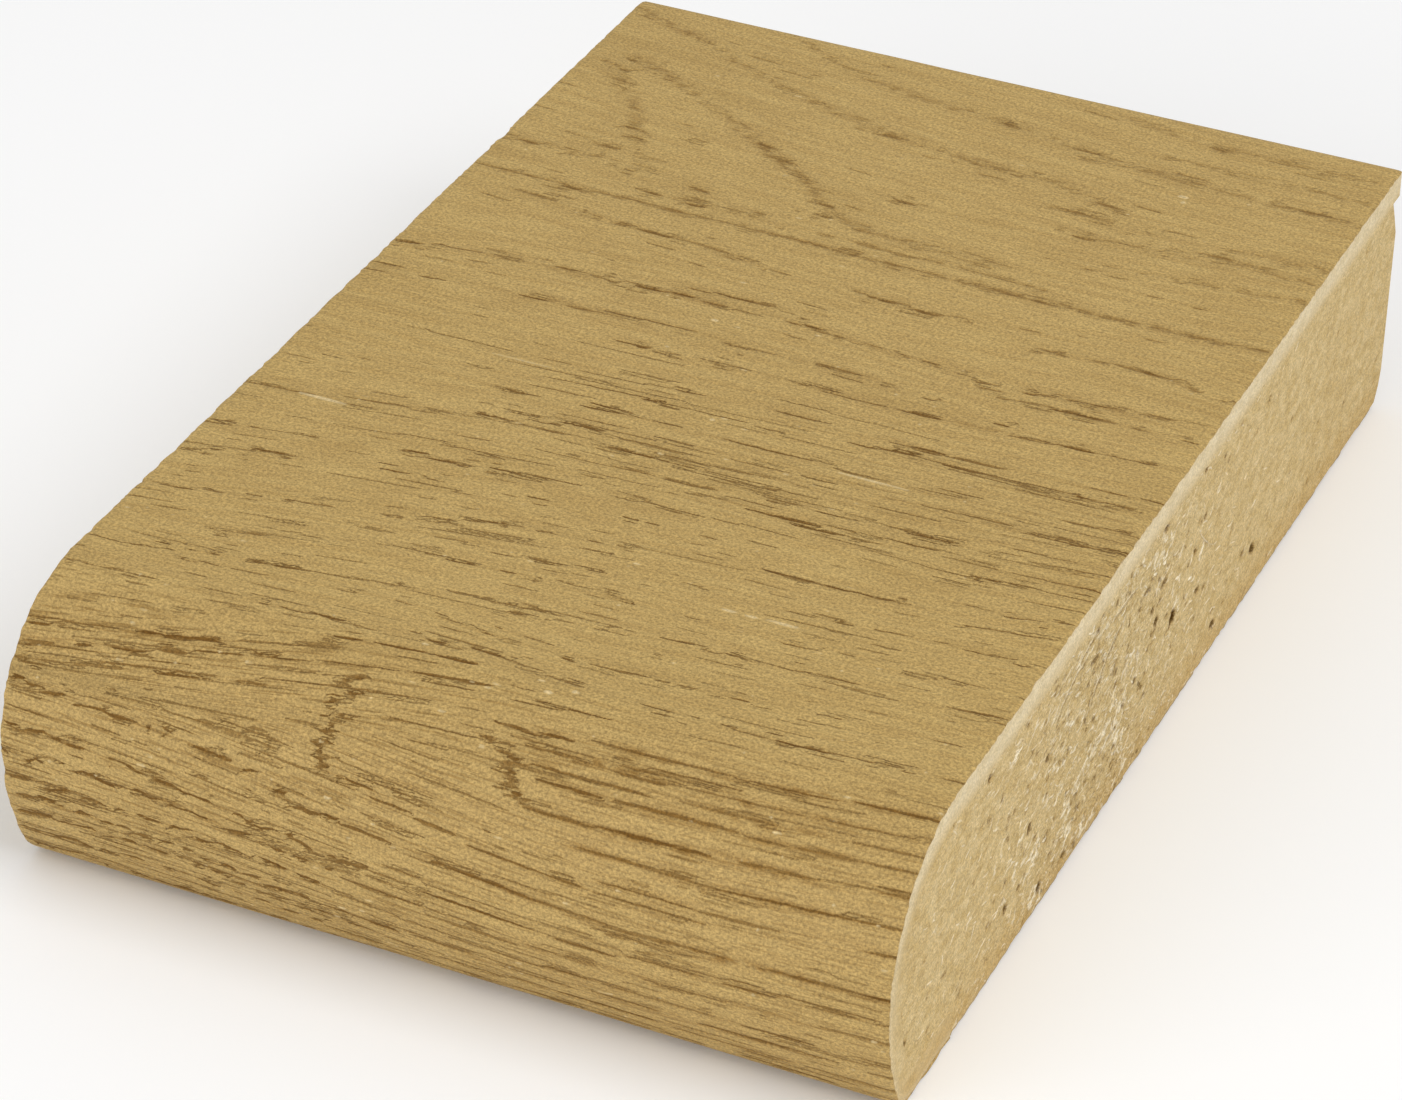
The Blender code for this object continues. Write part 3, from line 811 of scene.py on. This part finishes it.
def sheet():
    """The pale base sheet between film and core, with a slightly torn sawn edge at both ends."""
    rng = np.random.default_rng(SHEET_SEED)
    vs = spaced((0, V_SHOULDER, 0.3), (V_SHOULDER, BREAKS[-2], 0.2), (BREAKS[-2], V_LIP, 0.3))
    layers = np.linspace(FILM, COVER, 11)
    y, z, ny, nz = outer(vs)
    py = y[:, None] + ny[:, None] * layers[None, :]
    pz = z[:, None] + nz[:, None] * layers[None, :]
    nv, nt = py.shape
    ends = []
    for sign in (-1, 1):
        grid_v, grid_t = np.meshgrid(vs, layers, indexing="ij")
        rough = 0.012 * smooth_noise_2d(rng, grid_v, grid_t, 0.9, 0.5)
        rough += 0.014 * smooth_noise_2d(rng, grid_v, grid_t, 0.35, 0.3)
        depth = np.clip(0.055 + rough + 0.03 * np.exp(-(grid_t - FILM) / 0.14), 0.0, 0.25)
        ends.append(np.stack([sign * (HIGH[0] - depth), py, pz], -1))
    xs = np.linspace(-1, 1, 120)[1:-1]
    strips = []
    for k in (0, nv - 1):
        t = ((xs + 1) / 2)[:, None]
        x = ends[0][k, :, 0][None, :] * (1 - t) + ends[1][k, :, 0][None, :] * t
        grid = np.repeat(layers[None, :], len(xs), 0)
        wave = np.clip(0.03 + 0.02 * smooth_noise_2d(rng, x, grid, 1.2, 0.5), 0, 0.1)
        wave[:, [0, -1]] = 0
        strips.append(np.stack([x, py[k][None, :] - wave, np.repeat(pz[k][None, :], len(xs), 0)], -1))
    points = np.concatenate([block.reshape(-1, 3) for block in ends + strips])
    n, m = nv * nt, len(xs) * nt
    li, ri = np.arange(n).reshape(nv, nt), n + np.arange(n).reshape(nv, nt)
    rear = np.concatenate([li[:1], 2 * n + np.arange(m).reshape(-1, nt), ri[:1]])
    lip = np.concatenate([li[-1:], 2 * n + m + np.arange(m).reshape(-1, nt), ri[-1:]])
    faces = grid_faces(li, flip=True) + grid_faces(ri)
    faces += grid_faces(rear) + grid_faces(lip, flip=True)
    for side, flip in ((0, True), (nt - 1, False)):
        faces += grid_faces(np.stack([li[1:-1, side], ri[1:-1, side]]), flip=flip)
        first = [int(li[1, side]), int(ri[1, side])] + rear[::-1, side].tolist()
        last = [int(ri[-2, side]), int(li[-2, side])] + lip[:, side].tolist()
        faces.append(first if flip else first[::-1])
        faces.append(last if flip else last[::-1])
    grid_v, grid_t = np.meshgrid(vs, layers, indexing="ij")
    flat_t = np.repeat(layers[None, :], len(xs), 0).ravel()
    attributes = {
        "layer": np.concatenate([grid_t.ravel(), grid_t.ravel(), flat_t, flat_t]),
        "v": np.concatenate([grid_v.ravel(), grid_v.ravel(), np.zeros(m), np.full(m, V_LIP)]),
    }
    return make_mesh("base_layer", points, faces, attributes)


def paper():
    """The balancing sheet under the core: thin, with slightly frayed edges all round."""
    rng = np.random.default_rng(PAPER_SEED)
    xs = spaced((LOW[0] + 0.12, HIGH[0] - 0.12, 0.45))
    ys = spaced((LIP + 0.25, HIGH[1] - EASE_DEPTH - 0.05, 0.45))
    nx, ny = len(xs), len(ys)
    grid_x, grid_y = np.meshgrid(xs, ys, indexing="ij")
    grid_x[0] += np.abs(cut_waver(rng, ys, 0.1))
    grid_x[-1] -= np.abs(cut_waver(rng, ys, 0.1))
    grid_y[:, 0] += np.abs(cut_waver(rng, xs, 0.05))
    grid_y[:, -1] -= np.abs(cut_waver(rng, xs, 0.08))
    low = 0.02 + 0.012 * smooth_noise_2d(rng, grid_x, grid_y, 3.0, 3.0)
    low = np.clip(low + 0.006 * smooth_noise_2d(rng, grid_x, grid_y, 0.9, 0.9), 0, 0.08)
    below = np.stack([grid_x, grid_y, low], -1)
    rim = [(0, j) for j in range(ny)] + [(i, ny - 1) for i in range(1, nx)]
    rim += [(nx - 1, j) for j in range(ny - 2, -1, -1)] + [(i, 0) for i in range(nx - 2, 0, -1)]
    rim = np.array(rim)
    upper = below[rim[:, 0], rim[:, 1]].copy()
    upper[:, 2] = PAPER
    points = np.concatenate([below.reshape(-1, 3), upper])
    index = np.arange(nx * ny).reshape(nx, ny)
    lower = index[rim[:, 0], rim[:, 1]]
    above = nx * ny + np.arange(len(rim))
    faces = grid_faces(index, flip=True)
    faces += np.stack([lower, np.roll(lower, -1), np.roll(above, -1), above], 1).tolist()
    faces.append(above[::-1].tolist())
    return make_mesh("balancing_layer", points, faces)


# ---------------------------------------------------------------- materials

class Nodes:
    """Short ways to add shader nodes to one material."""

    def __init__(self, name):
        self.material = bpy.data.materials.new(name)
        self.material.use_nodes = True
        self.tree = self.material.node_tree
        self.shader = self.tree.nodes["Principled BSDF"]

    def add(self, kind, inputs=(), **settings):
        made = self.tree.nodes.new(kind)
        for key, value in settings.items():
            setattr(made, key, value)
        for key, value in dict(inputs).items():
            self.put(made.inputs[key], value)
        return made

    def put(self, socket, value):
        if isinstance(value, bpy.types.NodeSocket):
            self.tree.links.new(value, socket)
        else:
            socket.default_value = value

    def attribute(self, name):
        return self.add("ShaderNodeAttribute", attribute_name=name).outputs["Fac"]

    def math(self, operation, a, b=0.0, c=0.0):
        made = self.add("ShaderNodeMath", operation=operation)
        for socket, value in zip(made.inputs, (a, b, c)):
            self.put(socket, value)
        return made.outputs[0]

    def combine(self, x=0.0, y=0.0, z=0.0):
        return self.add("ShaderNodeCombineXYZ", {"X": x, "Y": y, "Z": z}).outputs[0]

    def noise(self, vector, scale=1.0, detail=2.0, roughness=0.5, distortion=0.0):
        inputs = {"Vector": vector, "Scale": scale, "Detail": detail, "Roughness": roughness}
        return self.add("ShaderNodeTexNoise", {**inputs, "Distortion": distortion}).outputs["Fac"]

    def stretched(self, axes, scales, detail=2.0, roughness=0.5, distortion=0.0):
        """Noise over these axes (two, or three), each with its own scale."""
        scaled = [self.times(axis, scale) for axis, scale in zip(axes, scales)]
        return self.noise(self.combine(*scaled, *scales[len(axes):]), 1.0, detail, roughness, distortion)

    def place(self):
        """Object coordinates in millimetres, as one vector and split."""
        at = self.add("ShaderNodeTexCoord").outputs["Object"]
        scaled = {0: at, 1: (1 / MM, 1 / MM, 1 / MM)}
        spot = self.add("ShaderNodeVectorMath", scaled, operation="MULTIPLY").outputs[0]
        return spot, self.add("ShaderNodeSeparateXYZ", {0: spot}).outputs

    def times(self, a, b):
        return self.math("MULTIPLY", a, b)

    def rough_edge(self, distance, noise, size):
        """A distance shifted by noise, so that its edge turns out uneven."""
        return self.math("MULTIPLY_ADD", self.math("SUBTRACT", noise, 0.5), size, distance)

    def stroke(self, distance, offset, half, reach):
        """Distance to the edge of a thin stroke, from its offset and half-width where the stroke is near."""
        thin = self.math("SUBTRACT", self.math("ABSOLUTE", offset), half)
        return self.math("MAXIMUM", thin, self.math("SUBTRACT", distance, reach))

    def tint(self, colour, noise, amount):
        """A colour made lighter and darker by noise."""
        gain = self.ramp(noise, 0.3, 0.7, 1 - amount, 1 + amount)
        return self.mix(1.0, colour, self.combine(gain, gain, gain), "MULTIPLY")

    def ramp(self, value, low, high, to_low=0.0, to_high=1.0):
        """Smooth step from to_low, where the value is low, to to_high, where it is high."""
        inputs = {"Value": value, "From Min": low, "From Max": high, "To Min": to_low, "To Max": to_high}
        return self.add("ShaderNodeMapRange", inputs, interpolation_type="SMOOTHSTEP").outputs["Result"]

    def mix(self, factor, a, b, blend="MIX"):
        made = self.add("ShaderNodeMix", data_type="RGBA", blend_type=blend)
        self.put(made.inputs["Factor"], factor)
        for key, value in (("A", a), ("B", b)):
            sockets = [s for s in made.inputs if s.name == key and s.type == "RGBA"]
            self.put(sockets[0], value)
        return [s for s in made.outputs if s.type == "RGBA"][0]

    def wash(self, colour, shade, amount, share=None):
        """A colour washed over with a shade (8-bit sRGB), by an amount or by a share of it."""
        return self.mix(amount if share is None else self.times(amount, share), colour, rgb(*shade))

    def bump(self, height, distance, strength):
        inputs = {"Strength": strength, "Distance": distance, "Height": height}
        return self.add("ShaderNodeBump", inputs).outputs["Normal"]

    def finish(self, colour, roughness, normal, specular):
        self.put(self.shader.inputs["Base Color"], colour)
        self.put(self.shader.inputs["Roughness"], roughness)
        self.put(self.shader.inputs["Normal"], normal)
        self.shader.inputs["Specular IOR Level"].default_value = specular
        return self.material


def rgb(red, green, blue):
    """Linear colour from 8-bit sRGB."""
    return tuple(((c / 255 + 0.055) / 1.055) ** 2.4 for c in (red, green, blue)) + (1.0,)


def decor_material():
    """Printed oak under a matt film: even ground, late-wood bands, brown pores, hair lines and specks."""
    n = Nodes("oak_decor")
    u, v, grain, deep, band = (n.attribute(name) for name in ("u", "v", "grain", "deep", "band"))
    # v is 0 to 79 on the top, then on the nose
    long_streak = n.stretched((u, grain), (0.05, 0.7, 3.1), 3.0, 0.55)
    streak = n.stretched((u, grain), (0.2, 2.4, 7.7), 3.0, 0.6)
    hair = n.stretched((u, grain), (0.26, 6.0, 1.3), 3.0, 0.65)
    clump = n.stretched((u, v), (0.9, 2.1, 4.4), 2.0, 0.6)
    speck = n.stretched((u, v), (5.0, 6.0, 0.0), 2.0, 0.75)
    grit = n.stretched((u, v), (1.8, 3.4, 9.0), 2.0, 0.6)

    colour = n.mix(n.ramp(streak, 0.3, 0.7, 0.22, 0.78), rgb(170, 140, 83), rgb(189, 161, 101))
    colour = n.wash(colour, (153, 123, 67), n.ramp(long_streak, 0.5, 0.8), 0.3)
    # painted shade: the nose is washed darker and browner from v 77, most between v 79 and 88 and fading out
    # by v 95, for the shade on its downward curve
    colour = n.wash(colour, (173, 145, 91), n.ramp(v, 77.0, 84.0, 0.0, 0.45))
    colour = n.wash(colour, (150, 122, 74), n.ramp(v, 79.0, 84.0, 0.0, 0.2), n.ramp(v, 95.0, 88.0))
    lines = n.times(n.ramp(hair, 0.5, 0.64), n.times(n.attribute("hairy"), 0.7))
    colour = n.wash(colour, (128, 98, 48), lines)
    pale_lines = n.times(n.ramp(hair, 0.42, 0.32), n.times(n.attribute("hairy"), 0.1))
    colour = n.wash(colour, (200, 174, 118), pale_lines)
    soft = n.times(band, n.ramp(clump, 0.38, 0.62, 0.16, 1.0))
    colour = n.wash(colour, (138, 106, 54), soft, 0.9)

    # the pores: followed further towards the rear, and softer there and on the right of the nose
    reach = n.ramp(v, 38.0, 48.0, 0.15, 0.095)
    pore = n.stroke(n.attribute("pore"), n.attribute("offset"), n.attribute("half"), reach)
    pore = n.rough_edge(n.rough_edge(pore, speck, 0.08), hair, 0.03)
    softer = n.times(n.ramp(v, 80.0, 84.0), n.ramp(u, -2.0, 12.0, 0.0, 0.035))
    blur = n.math("ADD", n.ramp(v, 22.0, 50.0, 0.11, 0.036), softer)
    hole = n.ramp(pore, blur, n.times(blur, -0.7))
    halo = n.times(n.ramp(pore, n.times(blur, 3.0), 0.0), 0.3)
    colour = n.wash(colour, (134, 100, 42), halo, deep)
    colour = n.wash(colour, (99, 66, 17), hole, n.math("MULTIPLY_ADD", deep, 0.84, 0.06))
    scuff = n.ramp(n.rough_edge(n.attribute("pale"), speck, 0.26), 0.08, -0.04)
    colour = n.wash(colour, (214, 191, 142), scuff, 0.8)
    colour = n.tint(n.tint(colour, speck, 0.29), grit, 0.08)

    height = n.math("MULTIPLY_ADD", hole, -0.8, n.times(speck, 0.6))
    height = n.math("MULTIPLY_ADD", n.times(hair, n.attribute("hairy")), 0.8, height)
    height = n.math("MULTIPLY_ADD", grit, 0.3, height)
    roughness = n.math("ADD", n.ramp(speck, 0.3, 0.7, 0.52, 0.66), n.times(hole, 0.2))
    return n.finish(colour, roughness, n.bump(height, 0.00006, 0.9), 0.16)


def fibre_ground(n, x, y, z):
    """Mottled tan of pressed wood fibre, browner near the underside. Gives the colour and its mottle."""
    cloud = n.stretched((x, y, z), (0.1, 0.11, 0.16), 3.0, 0.55)
    mottle = n.stretched((x, y, z), (0.9, 0.7, 1.3), 3.0, 0.6, 0.3)
    colour = n.mix(n.ramp(mottle, 0.3, 0.7), rgb(187, 161, 108), rgb(205, 182, 134))
    colour = n.wash(colour, (188, 160, 106), n.ramp(cloud, 0.42, 0.7), 0.35)
    return n.wash(colour, (184, 150, 90), n.ramp(z, 3.5, 0.3), 0.45), mottle


def core_material():
    """Raw fibreboard: mottled tan, pits darkened with painted shade, pale raised fibres brightened partly
    with painted highlight, and fine fibre noise.
    """
    n = Nodes("fibreboard")
    x, y, z = n.place()[1]
    busy, pit_deep = n.attribute("busy"), n.attribute("pit_deep")
    colour, mottle = fibre_ground(n, x, y, z)
    hair = n.stretched((x, y, z), (3.0, 2.4, 5.5), 3.0, 0.65, 0.6)
    speck = n.stretched((x, y, z), (7.0, 7.0, 8.0), 2.0, 0.75)
    amount = n.math("MULTIPLY_ADD", busy, 0.48, 0.28)
    colour = n.wash(colour, (229, 213, 176), n.ramp(hair, 0.54, 0.68), amount)
    colour = n.wash(colour, (150, 120, 70), n.ramp(hair, 0.44, 0.31), amount)
    near = n.rough_edge(n.attribute("from_sheet"), mottle, 1.3)
    colour = n.wash(colour, (213, 195, 157), n.ramp(near, 0.6, -1.1))
    # the raised fibres' near-white is partly their own pale colour and partly painted highlight
    strand = n.stroke(n.attribute("fibre"), n.attribute("fibre_offset"), n.attribute("fibre_half"), 0.16)
    strand = n.times(n.ramp(n.rough_edge(strand, speck, 0.1), 0.045, -0.02), n.attribute("fibre_up"))
    colour = n.wash(colour, (247, 234, 204), strand)
    # painted shade: the pits are darkened, to deep brown round them and near-black in their middles, more the
    # deeper they are
    pit = n.rough_edge(n.attribute("pit"), speck, 0.22)
    colour = n.wash(colour, (146, 111, 54), n.ramp(pit, 0.3, 0.04), n.times(pit_deep, 0.6))
    hole = n.times(n.ramp(pit, 0.11, -0.03), pit_deep)
    colour = n.wash(colour, (80, 54, 13), hole)
    colour = n.tint(colour, speck, 0.25)

    height = n.math("MULTIPLY_ADD", hair, 0.9, n.times(speck, 0.6))
    height = n.math("MULTIPLY_ADD", mottle, 0.5, height)
    height = n.math("MULTIPLY_ADD", strand, 0.9, height)
    height = n.math("MULTIPLY_ADD", hole, -1.6, height)
    normal = n.bump(height, 0.00009, n.math("MULTIPLY_ADD", busy, 0.5, 0.45))
    return n.finish(colour, n.ramp(speck, 0.3, 0.7, 0.8, 0.94), normal, 0.1)


def sheet_material():
    """Pale base sheet, cut: chalky at its outer side, board-coloured inwards and round the nose."""
    n = Nodes("pale_sheet")
    spot, (x, y, z) = n.place()
    board, mottle = fibre_ground(n, x, y, z)
    speck = n.noise(spot, 7.0, 2.0, 0.75)
    drag = n.stretched((x, y, z), (1.0, 1.1, 4.0), 2.0, 0.6)
    colour = n.mix(n.ramp(mottle, 0.35, 0.68), rgb(207, 188, 148), rgb(218, 201, 165))
    colour = n.wash(colour, (228, 214, 183), n.ramp(drag, 0.55, 0.75), 0.25)
    v = n.attribute("v")
    depth = n.rough_edge(n.attribute("layer"), mottle, 1.3)
    inner = n.ramp(n.math("ADD", depth, n.ramp(v, 76.0, 92.0, 0.0, 1.0)), 0.9, 2.6)
    toe = n.times(n.ramp(n.rough_edge(v, mottle, 10.0), 82.0, 98.0), n.ramp(depth, 0.2, 1.0, 0.55, 1.0))
    colour = n.mix(n.math("MAXIMUM", inner, toe), colour, board)
    colour = n.tint(colour, speck, 0.18)
    height = n.math("MULTIPLY_ADD", drag, 0.7, n.times(speck, 0.6))
    return n.finish(colour, n.ramp(speck, 0.3, 0.7, 0.66, 0.82), n.bump(height, 0.00006, 0.6), 0.22)


def paper_material():
    """Resin-soaked balancing paper: brownish, faintly mottled and fibrous, with a low sheen."""
    n = Nodes("balancing_paper")
    spot = n.place()[0]
    cloud = n.noise(spot, 0.22, 4.0, 0.6)
    fibre = n.noise(spot, 3.2, 4.0, 0.7, 1.2)
    speck = n.noise(spot, 8.0, 2.0, 0.7)
    colour = n.mix(n.ramp(cloud, 0.32, 0.7), rgb(163, 139, 99), rgb(178, 154, 112))
    colour = n.wash(colour, (194, 172, 130), n.ramp(fibre, 0.55, 0.75), 0.4)
    colour = n.wash(colour, (140, 114, 76), n.ramp(fibre, 0.4, 0.25), 0.35)
    colour = n.tint(colour, speck, 0.07)
    height = n.math("MULTIPLY_ADD", fibre, 0.8, n.times(speck, 0.4))
    return n.finish(colour, n.ramp(fibre, 0.3, 0.7, 0.58, 0.74), n.bump(height, 0.00005, 0.5), 0.3)


# ---------------------------------------------------------------- the object

for made, node, material in (
    (film(), "decor_film", decor_material()),
    (core(), "core_board", core_material()),
    (sheet(), "base_sheet", sheet_material()),
    (paper(), "backing_sheet", paper_material()),
):
    made.data.materials.append(material)
    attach(made, "root")
    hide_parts(node)


# ---------------------------------------------------------------- studio

def studio():
    """A pale floor, a soft even sky and two large soft lights."""
    mesh = bpy.data.meshes.new("floor")
    reach = 6.0
    corners = [(-reach, -reach, 0), (reach, -reach, 0), (reach, reach, 0), (-reach, reach, 0)]
    mesh.from_pydata(corners, [], [(0, 1, 2, 3)])
    floor = bpy.data.objects.new("floor", mesh)
    bpy.context.scene.collection.objects.link(floor)
    floor.location.z = (LOW[2] * MM) - 0.00005
    n = Nodes("studio_floor")
    place = n.add("ShaderNodeTexCoord").outputs["Object"]
    shade = n.ramp(n.noise(place, 6.0, 2.0, 0.5), 0.3, 0.7)
    colour = n.mix(shade, (0.93, 0.93, 0.93, 1), (0.95, 0.95, 0.95, 1))
    mesh.materials.append(n.finish(colour, 0.9, n.bump(shade, 0.0001, 0.1), 0.1))

    world = bpy.data.worlds.new("studio_sky")
    world.use_nodes = True
    background = world.node_tree.nodes["Background"]
    background.inputs["Color"].default_value = (1.0, 1.0, 1.0, 1)
    background.inputs["Strength"].default_value = 0.62
    bpy.context.scene.world = world
    for name, spot, size, power in (
        ("key_light", (0.6, -0.12, 0.8), 0.7, 4.76),
        ("fill_light", (-0.3, -0.9, 0.16), 0.9, 5.5),
    ):
        data = bpy.data.lights.new(name, "AREA")
        data.shape = "SQUARE"
        data.size = size
        data.energy = power
        light = bpy.data.objects.new(name, data)
        light.location = spot
        light.rotation_euler = (Vector((0, 0, 0.01)) - Vector(spot)).to_track_quat("-Z", "Y").to_euler()
        bpy.context.scene.collection.objects.link(light)


def camera():
    """The photo's camera, as fitted to the strip's outline: it looks down at the nose and the right end."""
    yaw, pitch, roll = 0.4146, 0.5746, 0.0229
    place = (0.10589, -0.24782, 0.17974)
    forward = Vector((-math.sin(yaw) * math.cos(pitch), math.cos(yaw) * math.cos(pitch), -math.sin(pitch)))
    right = Vector((math.cos(yaw), math.sin(yaw), 0))
    up = right.cross(forward)
    right, up = right * math.cos(roll) + up * math.sin(roll), up * math.cos(roll) - right * math.sin(roll)
    data = bpy.data.cameras.new("camera")
    data.lens = 130.25
    data.sensor_width = 36.0
    data.clip_start = 0.01
    data.clip_end = 50.0
    made = bpy.data.objects.new("camera", data)
    turned = Matrix((right, up, -forward)).transposed().to_4x4()
    made.matrix_world = Matrix.Translation(place) @ turned
    bpy.context.scene.collection.objects.link(made)
    bpy.context.scene.camera = made


studio()
camera()
bpy.context.scene.view_settings.view_transform = "Standard"
